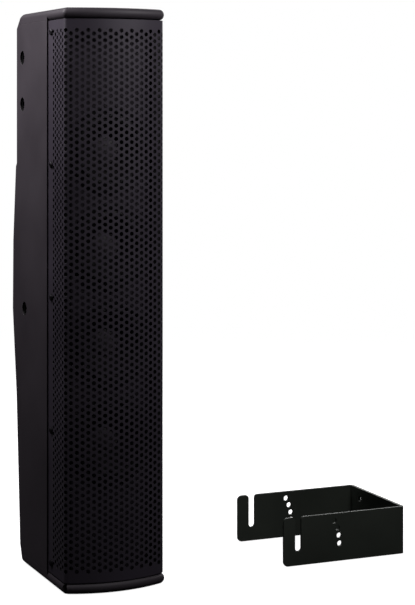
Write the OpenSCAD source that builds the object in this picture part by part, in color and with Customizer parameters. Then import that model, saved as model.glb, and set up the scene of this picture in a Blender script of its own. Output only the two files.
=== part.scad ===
// Column loudspeaker for public address: a slim ply cabinet with a bowed perforated grille over a
// column of four small drivers, a connector plate on the back, and a separate steel U bracket.
// Frame: X = 0 is the cabinet's mid plane, Y = 0 the line of its two front corners (the front bows
// towards -Y) and Z = 0 its underside. Millimetres throughout.

/* [Cabinet] */
// Width over the side panels
cab_w = 128; // [127:0.5:132]
// Height from the underside to the top
cab_h = 685; // [680:1:700]
// Thickness of the side panels, the baffle and the rear boards
board_t = 12; // [11.5:0.25:12.5]
// Thickness of the round-nosed top and bottom panels
cap_t = 13; // [12:0.5:14]
// Radius of the bowed front, seen from above
bow_r = 141; // [138:1:150]
// How far the bow's crown stands in front of the corner line
bow_rise = 19; // [18:0.5:20]

/* [Grille] */
// Thickness of the perforated steel sheet
sheet_t = 1.2; // [1:0.1:1.5]
// How far the top and bottom panels stand proud of the sheet
lip = 1.8; // [1.5:0.1:2]
// Where the sheet's side flanges end
flange_y = 57; // [50:1:60]

/* [Drivers] */
// Distance between driver centres
driver_pitch = 115; // [113:1:118]
// Height of the lowest driver's centre
driver_low_z = 172.5; // [165:0.5:175]
// Radius of the pressed frame's rim
frame_r = 51; // [50:0.5:51]
// Radius of the paper cone's rim
cone_r = 36.3; // [35.5:0.1:36.3]
// Radius of the voice coil's former
former_r = 13; // [12.6:0.1:13]

/* [Bracket] */
// Length of the arms, from their free ends to the back of the plate
arm_l = 171; // [160:1:190]
// Height of the arms and the plate
arm_h = 60; // [58:1:64]
// Gap between the arms
arm_gap = 134; // [132:0.5:138]
// Thickness of the steel
steel_t = 3; // [2.5:0.5:4]
// Distance from the pivot to the index holes
tilt_r = 58; // [54:1:60]
// Place of the bracket's near corner on the floor
bracket_x = 226; // [150:1:300]
bracket_y = 6; // [-60:1:60]

/* [Hidden] */

$fn = 96;
eps = 0.01;

black_paint = [0.16, 0.15, 0.17];
bare_ply = [0.72, 0.58, 0.40];
grille_black = [0.13, 0.12, 0.15];
zinc = [0.62, 0.62, 0.60];
brass = [0.78, 0.62, 0.30];
ferrite = [0.20, 0.20, 0.21];
black_plastic = [0.09, 0.09, 0.10];
copper = [0.72, 0.42, 0.24];

// Cabinet
half_w = cab_w / 2;
inner_w = half_w - board_t;
inner_top = cab_h - cap_t;
corner_r = cap_t / 2;                      // plan radius of the front corners
bow_cy = bow_r - bow_rise;                 // centre of the bow, on the mid plane
corner_x = half_w - corner_r;              // centres of the two corner arcs
corner_y = bow_cy - sqrt(pow(bow_r - corner_r, 2) - pow(corner_x, 2));
bow_half = asin(corner_x / (bow_r - corner_r));
baffle_y = 14;                             // front face of the baffle
baffle_back = baffle_y + board_t;
rebate = lip + sheet_t;                    // depth of the side panels' rebate under the sheet
front_reach = -2 * bow_rise;               // a plane well in front of everything
back_reach = 200;                          // a plane just behind everything
bevel = 8;                                 // width of the bevel at the bulge's top corners
bevel_low_z = 400;                         // where that bevel runs out
bevel_reach = 50;                          // half the width of the tool that cuts it
side_front_y = 2;                          // front edges of the side panels, inside the sheet

// The back seen from the side, from the foot to the top, as [y, z]
foot = [154, 0];
heel = [164, 22];
bulge_foot = [179, 209];
bulge_wide = [195, 314];
bulge_top = [191, 484];
neck = [178, 498];
brow = [178, cab_h - 18];
crest = [158, cab_h];
BACK = [foot, heel, bulge_foot, bulge_wide, bulge_top, neck, brow, crest];

function back_y(z) = lookup(z, [for (p = BACK) [p[1], p[0]]]);

// Inserts in the side panels, as [y, z]
pivot_at = [155, 572];
index_at = [155, 572 + tilt_r];
lower_at = [146, 318];
insert_mouth_r = 8.5;
insert_mouth = 3.5;                        // depth of the round recess
insert_flange_t = 1.5;
insert_barrel_r = 5.5;
m8_thread_r = 3.4;
m6_thread_r = 2.5;

// Grille
sheet_gap = 0.3;                           // play above and below the sheet
flange_gap = 0.2;                          // play behind the sheet's flanges
screw_y = 44;
screw_low_z = 26;
screw_pitch = 158;
SCREW_ZS = [for (i = [0:4]) screw_low_z + i * screw_pitch];
grille_screw_r = 1.9;
grille_head_r = 4;
grille_head_h = 2.4;
grille_screw_l = 10;

// Drivers. Depths count from the baffle's front face, towards the back.
driver_count = 4;
cutout_r = 45.5;
rim_t = 1.2;                               // pressed steel of the frame
rim_in_r = 43.2;
rim_bolt_r = 48.3;
rim_screw_r = 1.4;
rim_screw_l = 11;
rim_head_r = 3;
rim_head_h = 2;
gasket_t = 2.8;
gasket_in_r = 45.4;
land_t = 0.5;                              // flat lands of the surround
roll_r = 3;
roll_mid_r = cone_r + 0.2 + 0.9 + roll_r;
cone_rim_d = -rim_t - land_t;
cone_neck_d = 22;
cone_t = 0.8;
cap_r = 17;
cap_rise = 6.5;
cap_sphere_r = (cap_r * cap_r + cap_rise * cap_rise) / (2 * cap_rise);
cap_t_shell = 0.6;
former_t = 0.5;
former_back_d = 46;
coil_t = 0.3;
coil_d = 35;
coil_l = 9;
spider_d = 27.4;
spider_r = 32.8;
spider_t = 0.6;
spider_rolls = 5;
ledge_d = 28;
cup_r = 31.2;
plate_d = 37;                              // front face of the top plate
plate_t = 5;
plate_r = 36;
gap_r = 13.7;
pole_r = 12.2;
vent_r = 3;
magnet_r = 40;
magnet_in_r = 17;
magnet_t = 14;
yoke_r = 37;
yoke_t = 5;

// Connector plate, in a frame that leans with the bulge's upper board
plate_z = 410;
lean = -atan2(bulge_top[0] - bulge_wide[0], bulge_top[1] - bulge_wide[1]);
conn_w = 90;
conn_h = 110;
conn_t = 1.5;
opening_w = 72;
opening_h = 84;
socket_x = 19;
socket_z = 20;
socket_r = 11.8;
socket_l = 20;
socket_mouth_r = 9.9;
socket_core_r = 5.2;
socket_flange = [26, 2.5, 31];
socket_screw = [9.5, 12];
socket_floor = 4;                          // thickness of the shell's back
socket_key = 3;
contact = [0.8, 12, 3];
contact_r = 7.6;
knob_z = -22;
spindle_r = 3;
spindle_play = 0.05;
switch_r = 14;
switch_l = 15;
switch_floor = 2;
knob_r = 11;
knob_h = 13;
knob_y = conn_t + 0.5;                     // where the knob starts
knob_skirt_h = 2.5;
knob_grip_r = 8.5;
knob_ridge = 3.6;
knob_bore = 7.5;
conn_screw_r = 1.4;
CONN_SCREWS = [for (x = [-1, 1], z = [-1, 0, 1]) [x * (conn_w / 2 - 5), z * (conn_h / 2 - 5)]];

// Line transformer and filter board, on the bottom panel
core_w = 66;
core_h = 55;
core_stack = 30;
core_y = 44;
leg = core_w / 6;
coil_over = 10;                            // how far the winding bulges out of the stack
strap_t = 1;
strap_w = 20;
strap_foot = 14;
pcb_y = 92;
pcb_w = 90;
pcb_l = 42;
pcb_t = 1.6;
pcb_lift = 8;
PCB_POSTS = [for (x = [-1, 1], y = [5, pcb_l - 5]) [x * (pcb_w / 2 - 5), pcb_y + y]];
inner_screw_r = 1.4;
inner_screw_l = 9;                         // length in the bottom panel
choke = [13, 6, 16];                       // outer radius, inner radius, height
choke_x = -22;
capacitor = [6, 22];                       // radius, height
resistor = [22, 8, 8];

// Cables and woodwork
trunk = [46, 96];                          // where the loom's trunk stands, as [x, y]
trunk_r = 2;
branch_r = 1.5;
bend = 5;                                  // bend radius of a cable's centre line
batten = 10;
brace_z = 340;
brace_t = 9;
brace_rim = 14;
pad_t = 11;                                // wadding
pad_y = 84;
pad_w = 62;
pad_zs = [[110, 330], [358, 610]];
lid_pad_y = 46;
lid_pad_w = 104;

// Bracket
bend_r = 4;
bracket_w = arm_gap + 2 * steel_t;
end_r = 6;                                 // corner radius of the arms' free ends
slot_x = 20;
slot_z = 22;
slot_w = 8.5;
slot_mouth_r = 4.5;
index_r = 3.4;
index_step = 10;
plate_hole_r = 4;
upper_pair = 86;
upper_z = 47;
row_step = 22;
row_z = 32;

// Helpers ------------------------------------------------------------------------------------

// Extrudes a drawing of [y, z] points from x0 to x1
module along_x(x0, x1) {
    translate([x0, 0, 0]) rotate([90, 0, 90]) linear_extrude(x1 - x0) children();
}

// Turns a solid whose axis is Z so that its axis runs towards the back
module backwards() {
    rotate([-90, 0, 0]) children();
}

// A straight length of cable from a to b
module cable_run(a, b, r) {
    v = b - a;
    translate(a)
        rotate([0, acos(v[2] / norm(v)), atan2(v[1], v[0])])
            cylinder(h = norm(v), r = r);
}

// A quarter bend at corner p, arriving along u and leaving along w
module cable_bend(p, u, w, r) {
    c = p + bend * (w - u);
    n = cross(u, w);
    multmatrix([
        [-w[0], u[0], n[0], c[0]],
        [-w[1], u[1], n[1], c[1]],
        [-w[2], u[2], n[2], c[2]]
    ]) rotate_extrude(angle = 90) translate([bend, 0]) circle(r);
}

// A cable through a list of points; the legs run along the axes and the corners are rounded
module cable(points, r) {
    last = len(points) - 1;
    way = [for (i = [1:last]) (points[i] - points[i - 1]) / norm(points[i] - points[i - 1])];
    for (i = [1:last]) {
        a = points[i - 1] + (i == 1 ? 0 : bend) * way[i - 1];
        b = points[i] - (i == last ? 0 : bend) * way[i - 1];
        cable_run(a, b, r);
    }
    for (i = [1:last - 1]) cable_bend(points[i], way[i - 1], way[i], r);
}

// A ring about Z
module ring(r_out, r_in, h) {
    difference() {
        cylinder(h = h, r = r_out);
        translate([0, 0, -1]) cylinder(h = h + 2, r = r_in);
    }
}

// A pan head about Z, standing on z = 0, with a cross recess
module pan_head(r, h) {
    difference() {
        union() {
            cylinder(h = h * 0.6, r = r);
            translate([0, 0, h * 0.6]) cylinder(h = h * 0.4, r1 = r, r2 = r * 0.7);
        }
        for (a = [0, 90])
            rotate([0, 0, a]) translate([0, 0, h]) cube([r * 1.1, r * 0.24, h], center = true);
    }
}

// A pan head screw along Z: the head stands on z = 0 and the shank hangs below it
module pan_screw(head_r, head_h, shank_r, shank_l) {
    pan_head(head_r, head_h);
    translate([0, 0, -shank_l]) cylinder(h = shank_l, r = shank_r);
}

// Cabinet ------------------------------------------------------------------------------------

// Plan of the bowed front, set in by a, from the crown back to y_end
module bow_plan(a, y_end) {
    reach = 1.2 * bow_r;
    intersection() {
        translate([0, bow_cy]) circle(bow_r - a);
        polygon([
            [0, bow_cy],
            [-reach * sin(bow_half), bow_cy - reach * cos(bow_half)],
            [reach * sin(bow_half), bow_cy - reach * cos(bow_half)]
        ]);
    }
    for (s = [-1, 1]) translate([s * corner_x, corner_y]) circle(corner_r - a);
    translate([a - half_w, corner_y]) square([cab_w - 2 * a, y_end - corner_y]);
}

// Half of a round nose, in section: the flat side is on x = 0
module nose() {
    intersection() {
        circle(corner_r);
        translate([0, -corner_r]) square(2 * corner_r);
    }
}

// Nose whose inner quarter is square, where the panel meets a side panel
module square_nose() {
    intersection() {
        circle(corner_r);
        square(corner_r);
    }
    translate([0, -corner_r]) square(corner_r);
}

// Round-nosed panel standing on its inner face, which is at z = 0
module cap_panel() {
    linear_extrude(cap_t) intersection() {
        translate([0, bow_cy]) circle(bow_r - corner_r);
        translate([-corner_x, front_reach]) square([2 * corner_x, bow_cy - front_reach]);
    }
    translate([-corner_x, bow_cy, 0]) cube([2 * corner_x, back_reach - bow_cy, cap_t]);
    translate([0, bow_cy, corner_r]) rotate([0, 0, -90 - bow_half])
        rotate_extrude(angle = 2 * bow_half) translate([bow_r - corner_r, 0]) nose();
    for (s = [0, 1]) translate([(2 * s - 1) * corner_x, corner_y, corner_r])
        rotate([0, 0, s ? bow_half - 90 : 180]) rotate_extrude(angle = 90 - bow_half) nose();
    for (s = [-1, 1]) translate([s * corner_x, 0, corner_r]) mirror([s < 0 ? 1 : 0, 0, 0]) {
        translate([0, flange_y, 0]) rotate([90, 0, 0]) linear_extrude(flange_y - corner_y) nose();
        translate([0, back_reach, 0]) rotate([90, 0, 0])
            linear_extrude(back_reach - flange_y) square_nose();
    }
}

// Everything behind the sloping end between points p and q of the back
module behind(p, q) {
    d = (q - p) / 2;
    along_x(-cab_w, cab_w) polygon([
        p - d, q + d, [2 * back_reach, (q + d)[1]], [2 * back_reach, (p - d)[1]]
    ]);
}

module top_panel() {
    color(black_paint) difference() {
        translate([0, 0, inner_top]) cap_panel();
        behind(brow, crest);
    }
}

module bottom_panel() {
    color(black_paint) difference() {
        translate([0, 0, cap_t]) rotate([0, 180, 0]) cap_panel();
        behind(foot, heel);
        inner_screw_shanks();
    }
}

// Plane cut that bevels the bulge's corner on side s: widest at the top, running out lower down
module bevel_cut(s) {
    run = bulge_top[1] - bevel_low_z;
    cut_h = neck[1] - bevel_low_z + 8;
    low_y = back_y(bevel_low_z);
    drift = (low_y - bulge_top[0] + bevel) / sqrt(2);
    translate([s * half_w, low_y, bevel_low_z])
        rotate([0, 0, s > 0 ? 45 : 135])
            rotate([0, -atan2(drift, run), 0])
                translate([0, -bevel_reach, -1]) cube([bevel_reach, 2 * bevel_reach, cut_h]);
}

// Recess and barrel hole for one insert, cut from the face of a side panel along -Z
module insert_cut() {
    translate([0, 0, -insert_mouth]) cylinder(h = insert_mouth + 1, r = insert_mouth_r);
    translate([0, 0, -board_t - 1]) cylinder(h = board_t + 1, r = insert_barrel_r);
}

// Puts a solid that points along +Z on the outer face of a side panel, at depth x
module on_side(s, at, x) {
    translate([s * x, at[0], at[1]]) rotate([0, s * 90, 0]) children();
}

// Side panel on side s (-1 left, +1 right)
module side_panel(s) {
    x0 = min(s * inner_w, s * half_w);
    color(black_paint) difference() {
        along_x(x0, x0 + board_t) polygon(concat(
            [[side_front_y, cap_t], [back_y(cap_t), cap_t]],
            [for (p = BACK) if (p[1] > cap_t && p[1] < inner_top) p],
            [[back_y(inner_top), inner_top], [side_front_y, inner_top]]
        ));
        // rebate for the sheet's flange
        translate([s * (half_w + 1) - (s > 0 ? rebate + 1 : 0), side_front_y - 1, 0])
            cube([rebate + 1, flange_y + flange_gap - side_front_y + 1, cab_h]);
        bevel_cut(s);
        for (at = [pivot_at, index_at, lower_at]) on_side(s, at, half_w) insert_cut();
        for (z = SCREW_ZS)
            on_side(s, [screw_y, z], half_w - lip)
                translate([0, 0, -grille_screw_l]) cylinder(h = grille_screw_l, r = grille_screw_r);
    }
}

module baffle() {
    color(black_paint) difference() {
        translate([-inner_w, baffle_y, cap_t])
            cube([2 * inner_w, board_t, inner_top - cap_t]);
        for (i = [1:driver_count]) at_driver(i) {
            translate([0, 0, -1]) cylinder(h = board_t + 2, r = cutout_r);
            on_rim() translate([0, 0, -1]) cylinder(h = board_t + 2, r = rim_screw_r);
        }
    }
}

module rear_board(points) {
    color(black_paint) along_x(-inner_w, inner_w) polygon(points);
}

module rear_upper() {
    in_y = neck[0] - board_t;
    rear_board([[in_y, neck[1]], neck, brow, [back_y(inner_top), inner_top], [in_y, inner_top]]);
}

module rear_step() {
    in_y = neck[0] - board_t;
    rear_board([[in_y, bulge_top[1]], bulge_top, neck, [in_y, neck[1]]]);
}

// Four-cornered board between two points of the back
function board_between(p, q) = [p - [board_t, 0], p, q, q - [board_t, 0]];

module rear_mid() {
    difference() {
        rear_board(board_between(bulge_wide, bulge_top));
        on_back() {
            cube([opening_w, 4 * board_t, opening_h], center = true);
            conn_screw_holes();
        }
    }
}

module rear_taper() {
    rear_board(board_between(bulge_foot, bulge_wide));
}

module rear_low() {
    y0 = back_y(cap_t);
    rear_board([
        [y0 - board_t, cap_t], [y0, cap_t], heel, bulge_foot,
        bulge_foot - [board_t, 0], heel - [board_t, 0]
    ]);
}

module battens() {
    rail_y = back_y(cap_t) - board_t;
    color(bare_ply) {
        for (s = [-1, 1])
            translate([s * (inner_w - batten / 2) - batten / 2, baffle_back, cap_t])
                cube([batten, board_t, inner_top - cap_t]);
        translate([-inner_w, rail_y - batten, cap_t]) cube([2 * inner_w, batten, batten]);
        translate([-inner_w, neck[0] - board_t - batten, inner_top - batten])
            cube([2 * inner_w, batten, batten]);
    }
}

// Window brace between the middle drivers
module brace() {
    end_y = back_y(brace_z + brace_t) - board_t - 0.2;
    color(bare_ply) difference() {
        translate([-inner_w, baffle_back, brace_z]) cube([2 * inner_w, end_y - baffle_back, brace_t]);
        for (s = [-1, 1])
            translate([s * (inner_w - batten / 2) - batten / 2 - 0.1, baffle_back - 1, brace_z - 1])
                cube([batten + 0.2, board_t + 1.2, brace_t + 2]);
        translate([-inner_w + brace_rim, baffle_back + brace_rim, brace_z - 1])
            cube([2 * (inner_w - brace_rim), end_y - baffle_back - 2 * brace_rim, brace_t + 2]);
        translate([trunk[0], trunk[1], brace_z - 1]) cylinder(h = brace_t + 2, r = trunk_r + 1);
    }
}

// Grille -------------------------------------------------------------------------------------

module grille() {
    color(grille_black) difference() {
        translate([0, 0, cap_t + sheet_gap]) linear_extrude(cab_h - 2 * (cap_t + sheet_gap))
            difference() {
                bow_plan(lip, flange_y);
                bow_plan(lip + sheet_t, flange_y + 1);
            }
        for (s = [-1, 1], z = SCREW_ZS)
            on_side(s, [screw_y, z], half_w - rebate - 1)
                cylinder(h = rebate + 2, r = grille_screw_r + 0.2);
    }
}

module grille_screws() {
    color(zinc * 0.4) for (s = [-1, 1], z = SCREW_ZS)
        on_side(s, [screw_y, z], half_w - lip)
            pan_screw(grille_head_r, grille_head_h, grille_screw_r, grille_screw_l);
}

// Flanged threaded insert whose flange rests in the recess of a side panel
module insert_at(s, at, thread_r) {
    on_side(s, at, half_w - insert_mouth) difference() {
        union() {
            cylinder(h = insert_flange_t, r = insert_mouth_r);
            translate([0, 0, insert_mouth - board_t])
                cylinder(h = board_t - insert_mouth, r = insert_barrel_r);
        }
        translate([0, 0, -board_t]) cylinder(h = 2 * board_t, r = thread_r);
    }
}

module inserts_m8() {
    color(zinc * 0.5) for (s = [-1, 1], at = [pivot_at, lower_at]) insert_at(s, at, m8_thread_r);
}

module inserts_m6() {
    color(zinc * 0.5) for (s = [-1, 1]) insert_at(s, index_at, m6_thread_r);
}

// Drivers ------------------------------------------------------------------------------------

// Height of driver i, counted from the bottom
function driver_z(i) = driver_low_z + (i - 1) * driver_pitch;

// Frame of driver i: Z runs from the baffle's front face towards the back
module at_driver(i) {
    translate([0, baffle_y, driver_z(i)]) backwards() children();
}

// The four screw places on a driver's rim
module on_rim() {
    for (a = [45:90:315]) rotate([0, 0, a]) translate([rim_bolt_r, 0, 0]) children();
}

// Pressed steel frame: rim, sloping wall with six windows, spider ledge and cup
module basket(i) {
    ledge_r = cup_r + 3;
    color(black_plastic) at_driver(i) difference() {
        rotate_extrude() polygon([
            [frame_r, -rim_t], [frame_r, 0], [rim_in_r + 1.4, 0],
            [ledge_r, ledge_d], [ledge_r, ledge_d + rim_t], [cup_r, ledge_d + rim_t],
            [cup_r, plate_d], [magnet_in_r - 1, plate_d], [magnet_in_r - 1, plate_d - rim_t],
            [cup_r - rim_t, plate_d - rim_t], [cup_r - rim_t, ledge_d],
            [ledge_r - rim_t, ledge_d], [rim_in_r, 0], [rim_in_r, -rim_t]
        ]);
        for (a = [0:60:300]) rotate([0, 0, a + 30])
            translate([cup_r + 1, -12, 5]) cube([frame_r - cup_r, 24, ledge_d - 8]);
        on_rim() translate([0, 0, -rim_t - 1]) cylinder(h = rim_t + 2, r = rim_screw_r + 0.3);
    }
}

// Paper cone, from its rim down to the coil's former
module cone(i) {
    color([0.10, 0.09, 0.09]) at_driver(i) rotate_extrude() polygon([
        [cone_r, cone_rim_d], [former_r, cone_neck_d],
        [former_r, cone_neck_d + cone_t], [cone_r, cone_rim_d + cone_t]
    ]);
}

// Depth of the cone's front surface at radius r
function cone_depth(r) =
    cone_rim_d + (cone_neck_d - cone_rim_d) * (cone_r - r) / (cone_r - former_r);

module dust_cap(i) {
    centre_d = cone_depth(cap_r) - cap_rise + cap_sphere_r;
    color([0.13, 0.12, 0.13]) at_driver(i) rotate_extrude() intersection() {
        translate([0, centre_d]) difference() {
            circle(cap_sphere_r);
            circle(cap_sphere_r - cap_t_shell);
        }
        translate([0, centre_d - cap_sphere_r - 1]) square([cap_r, cap_rise + 1]);
    }
}

// Former and its winding
module voice_coil(i) {
    color(copper) at_driver(i) {
        translate([0, 0, cone_neck_d - 2])
            ring(former_r, former_r - former_t, former_back_d - cone_neck_d + 2);
        translate([0, 0, coil_d]) ring(former_r + coil_t, former_r, coil_l);
    }
}

// Half-roll surrounds, standing 0.2 mm clear of the cones' rims
module surrounds() {
    in_r = cone_r + 0.2;
    color([0.07, 0.07, 0.07]) for (i = [1:driver_count]) at_driver(i) rotate_extrude() {
        intersection() {
            translate([roll_mid_r, -rim_t]) difference() {
                circle(roll_r);
                circle(roll_r - land_t);
            }
            translate([in_r, -rim_t - roll_r - 1]) square([2 * roll_r + 2, roll_r + 1]);
        }
        translate([in_r, -rim_t - land_t]) square([roll_mid_r - roll_r - in_r + 0.05, land_t]);
        translate([roll_mid_r + roll_r - 0.05, -rim_t - land_t])
            square([gasket_in_r - 0.2 - roll_mid_r - roll_r, land_t]);
    }
}

// Corrugated spiders, 0.2 mm clear of the formers
module spiders() {
    in_r = former_r + 0.2;
    flat_r = cup_r - rim_t;
    step = (flat_r - in_r) / (2 * spider_rolls);
    crest_pts = [for (k = [0:2 * spider_rolls])
        [in_r + k * step, spider_d + (k % 2 == 0 ? 0 : (k % 4 == 1 ? -1 : 1))]];
    back_pts = [for (k = [2 * spider_rolls:-1:0]) crest_pts[k] + [0, spider_t]];
    color([0.75, 0.62, 0.36]) for (i = [1:driver_count]) at_driver(i) rotate_extrude() {
        polygon(concat(crest_pts, back_pts));
        translate([flat_r - 0.05, spider_d]) square([spider_r - flat_r, spider_t]);
    }
}

// Front gaskets, notched round the screw heads
module gaskets() {
    color([0.12, 0.12, 0.12]) for (i = [1:driver_count]) at_driver(i) difference() {
        translate([0, 0, -rim_t - gasket_t]) ring(frame_r, gasket_in_r, gasket_t);
        on_rim() translate([0, 0, -rim_t - gasket_t - 1])
            cylinder(h = gasket_t + 2, r = rim_head_r + 0.3);
    }
}

module top_plates() {
    color(zinc) for (i = [1:driver_count]) at_driver(i)
        translate([0, 0, plate_d]) ring(plate_r, gap_r, plate_t);
}

module magnets() {
    color(ferrite) for (i = [1:driver_count]) at_driver(i)
        translate([0, 0, plate_d + plate_t]) ring(magnet_r, magnet_in_r, magnet_t);
}

// Back plates and vented poles in one piece
module yokes() {
    back_d = plate_d + plate_t + magnet_t;
    color(zinc) for (i = [1:driver_count]) at_driver(i) difference() {
        union() {
            translate([0, 0, back_d]) cylinder(h = yoke_t, r = yoke_r);
            translate([0, 0, plate_d]) cylinder(h = back_d - plate_d, r = pole_r);
        }
        translate([0, 0, plate_d - 1]) cylinder(h = back_d + yoke_t, r = vent_r);
    }
}

tab_y = baffle_y + 33;                     // where the solder tabs stand
tab_end = cup_r + 8;
strip = [2, 6, 14];                        // insulated strip under the tabs
tab = [tab_end - cup_r - strip[0] + eps, 0.8, 2];
tab_z = 3.5;                               // the tabs stand this far above and below its middle

// Terminal strips with two solder tabs, on the right of each cup
module terminals() {
    color(brass) for (i = [1:driver_count]) translate([cup_r, 0, driver_z(i)]) {
        translate([0, tab_y - strip[1] / 2, -strip[2] / 2]) cube(strip);
        for (z = [-tab_z, tab_z])
            translate([strip[0] - eps, tab_y - tab[1] / 2, z - tab[2] / 2]) cube(tab);
    }
}

module driver_screws() {
    color(zinc * 0.5) for (i = [1:driver_count]) at_driver(i) on_rim()
        translate([0, 0, -rim_t]) rotate([180, 0, 0])
            pan_screw(rim_head_r, rim_head_h, rim_screw_r, rim_screw_l + rim_t);
}

// Connector plate ----------------------------------------------------------------------------

// Frame just outside the bulge's upper board: Y points out of the board, Z runs up it
module on_back() {
    translate([0, back_y(plate_z) + eps, plate_z]) rotate([lean, 0, 0]) children();
}

module conn_screw_holes() {
    for (p = CONN_SCREWS) translate([p[0], -board_t + 1, p[1]]) backwards()
        cylinder(h = board_t + 2, r = conn_screw_r);
}

// Positions of the two sockets on the plate
module at_socket(s) {
    translate([s * socket_x, 0, socket_z]) children();
}

// The two screw places of a socket, at depth y
module on_flange(y) {
    for (c = [-1, 1]) translate([c * socket_screw[0], y, -c * socket_screw[1]]) backwards() children();
}

module connector_plate() {
    color([0.11, 0.11, 0.12]) on_back() difference() {
        translate([-conn_w / 2, 0, -conn_h / 2]) cube([conn_w, conn_t, conn_h]);
        for (s = [-1, 1]) at_socket(s) {
            translate([0, -1, 0]) backwards() cylinder(h = conn_t + 2, r = socket_r + 0.2);
            on_flange(-1) cylinder(h = conn_t + 2, r = conn_screw_r);
        }
        translate([0, -1, knob_z]) backwards() cylinder(h = conn_t + 2, r = spindle_r + 0.4);
        conn_screw_holes();
    }
}

// Four-pole locking socket: square flange, round shell and a keyed core
module socket(s) {
    color(black_plastic) on_back() at_socket(s) {
        difference() {
            union() {
                translate([-socket_flange[0] / 2, conn_t, -socket_flange[2] / 2]) cube(socket_flange);
                translate([0, -socket_l, 0]) backwards()
                    cylinder(h = socket_l + conn_t + 1, r = socket_r);
            }
            translate([0, -socket_l + socket_floor, 0]) backwards()
                cylinder(h = 2 * socket_l, r = socket_mouth_r);
            on_flange(0) cylinder(h = 2 * socket_l, r = conn_screw_r);
        }
        translate([0, 1 - socket_l, 0]) backwards() cylinder(h = socket_l - 1, r = socket_core_r);
        translate([-socket_key / 2, 1 - socket_l, socket_core_r - 1])
            cube([socket_key, socket_l - 1, socket_key]);
    }
}

module socket_contacts() {
    color(brass) on_back() for (s = [-1, 1]) at_socket(s) for (a = [45:90:315])
        rotate([0, a, 0]) translate([contact_r, socket_floor - socket_l, -contact[2] / 2]) cube(contact);
}

module plate_screws() {
    color(zinc * 0.5) on_back() {
        for (p = CONN_SCREWS) translate([p[0], conn_t, p[1]]) backwards()
            pan_screw(2.8, 2, conn_screw_r, board_t);
        for (s = [-1, 1]) at_socket(s) on_flange(conn_t + socket_flange[1])
            pan_screw(2.6, 1.8, conn_screw_r, conn_t + socket_flange[1]);
    }
}

// Rotary switch behind the plate, bored for its spindle
module tap_switch() {
    color([0.30, 0.20, 0.12]) on_back() translate([0, 0, knob_z]) difference() {
        translate([0, -switch_l, 0]) backwards() cylinder(h = switch_l, r = switch_r);
        translate([0, switch_floor - switch_l, 0]) backwards()
            cylinder(h = switch_l, r = spindle_r + spindle_play);
    }
}

// Spindle from just above the switch's floor to just short of the end of the knob's bore
module tap_spindle() {
    y0 = switch_floor + 0.5 - switch_l;
    color(zinc) on_back() translate([0, y0, knob_z]) backwards()
        cylinder(h = knob_y + knob_bore - 0.2 - y0, r = spindle_r);
}

// Knob with a skirt and a pointer ridge, bored for the spindle
module tap_knob() {
    ridge_l = 2 * knob_r - 1.2;
    color(black_plastic) on_back() translate([0, knob_y, knob_z]) difference() {
        union() {
            backwards() cylinder(h = knob_skirt_h, r = knob_r);
            backwards() cylinder(h = knob_h - 2, r1 = knob_grip_r, r2 = knob_grip_r - 1);
            translate([-knob_ridge / 2, 0, -ridge_l / 2]) cube([knob_ridge, knob_h, ridge_l]);
        }
        translate([0, -1, 0]) backwards() cylinder(h = knob_bore + 1, r = spindle_r);
    }
}

// Inside the cabinet -------------------------------------------------------------------------

// Laminated EI core with its two windows
module transformer_core() {
    color([0.35, 0.35, 0.37]) difference() {
        translate([-core_w / 2, core_y, cap_t]) cube([core_w, core_stack, core_h]);
        for (s = [-1, 1])
            translate([s * 1.5 * leg - leg / 2, core_y - 1, cap_t + leg])
                cube([leg, core_stack + 2, core_h - 2 * leg]);
    }
}

// Outer box of the coil space, grown by g round the centre leg
module leg_box(g, z0, h) {
    translate([-leg / 2 - g, core_y - g, z0]) cube([leg + 2 * g, core_stack + 2 * g, h]);
}

bobbin_t = 1;

module transformer_bobbin() {
    z0 = cap_t + leg;
    h = core_h - 2 * leg;
    color([0.80, 0.78, 0.70]) difference() {
        union() {
            leg_box(leg / 2 + bobbin_t, z0, h);
            for (z = [z0, z0 + h - bobbin_t])
                translate([-1.5 * leg - 4, core_y - coil_over, z])
                    cube([3 * leg + 8, core_stack + 2 * coil_over, bobbin_t]);
        }
        leg_box(leg / 2, z0 - 1, h + 2);
        for (s = [-1, 1])
            translate([s * (2 * leg + 5) - 5, core_y, z0 - 1]) cube([10, core_stack, h + 2]);
    }
}

module transformer_winding() {
    z0 = cap_t + leg + bobbin_t;
    h = core_h - 2 * leg - 2 * bobbin_t;
    color(copper) difference() {
        translate([-2 * leg + 0.5, core_y - coil_over + 1, z0])
            cube([4 * leg - 1, core_stack + 2 * coil_over - 2, h]);
        leg_box(leg / 2 + bobbin_t, z0 - 1, h + 2);
    }
}

// Steel strap over the core, with a foot each side
module transformer_strap() {
    x1 = core_w / 2;
    y0 = core_y + (core_stack - strap_w) / 2;
    color(zinc) difference() {
        union() {
            for (s = [-1, 1]) {
                translate([s * (x1 + strap_t / 2) - strap_t / 2, y0, cap_t])
                    cube([strap_t, strap_w, core_h + strap_t]);
                translate([s * (x1 + strap_foot / 2) - strap_foot / 2, y0, cap_t])
                    cube([strap_foot, strap_w, strap_t]);
            }
            translate([-x1, y0, cap_t + core_h]) cube([2 * x1, strap_w, strap_t]);
        }
        translate([0, 0, cap_t]) strap_screw_places()
            translate([0, 0, -1]) cylinder(h = strap_t + 2, r = inner_screw_r);
    }
}

module strap_screw_places() {
    for (s = [-1, 1]) translate([s * (core_w / 2 + 8), core_y + core_stack / 2, 0]) children();
}

// Shanks of every screw that enters the bottom panel
module inner_screw_shanks() {
    strap_screw_places() translate([0, 0, cap_t - inner_screw_l])
        cylinder(h = inner_screw_l + 1, r = inner_screw_r);
    for (p = PCB_POSTS) translate([p[0], p[1], cap_t - inner_screw_l])
        cylinder(h = inner_screw_l + 1, r = inner_screw_r);
}

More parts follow.
